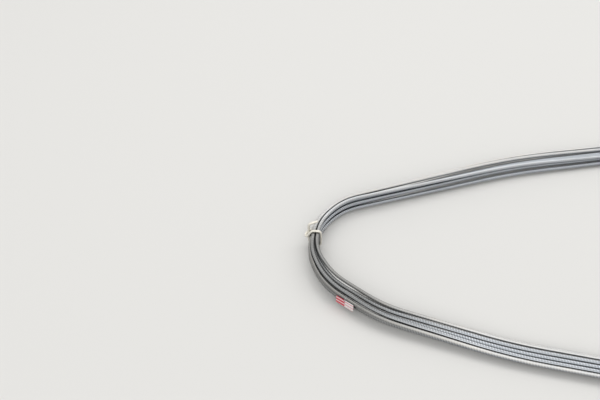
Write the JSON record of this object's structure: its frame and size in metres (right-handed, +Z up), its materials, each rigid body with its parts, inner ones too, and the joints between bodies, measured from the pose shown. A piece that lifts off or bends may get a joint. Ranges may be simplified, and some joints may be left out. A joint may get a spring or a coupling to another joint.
{
  "type": "hairpin bundle of reinforcing bars",
  "caption": "Ribbed steel reinforcing bars folded in half into a hairpin, packed tight round the bend, loose along the arms and tied with rings of wire rod.",
  "frame": {"origin": "on the floor, at the centre of the bend's circle, in the open eye inside the bend", "axes": "+X along the arms, away from the bend; +Y towards the far arm; +Z up"},
  "size_m": [5.8777, 1.2177, 0.1026],
  "materials": {
    "bar_steel": "hot-rolled mill scale, blue-grey, ribs rubbed bright, dusty on the outer bars of the bend",
    "tie_rod": "bright pale wire rod, slightly dusty",
    "tag_card": "printed plastic card, white with one plain red half, no lettering",
    "tag_wire": "thin galvanised wire"
  },
  "bodies": {
    "root": {"bar_01": "bar_steel", "bar_02": "bar_steel", "bar_03": "bar_steel", "bar_04": "bar_steel", "bar_05": "bar_steel", "bar_06": "bar_steel", "bar_07": "bar_steel", "bar_08": "bar_steel", "bar_09": "bar_steel", "bar_10": "bar_steel", "bend_tie": "tie_rod", "arm_ties": "tie_rod", "tag": "tag_card", "tag_wire": "tag_wire"}
  },
  "joints": []
}
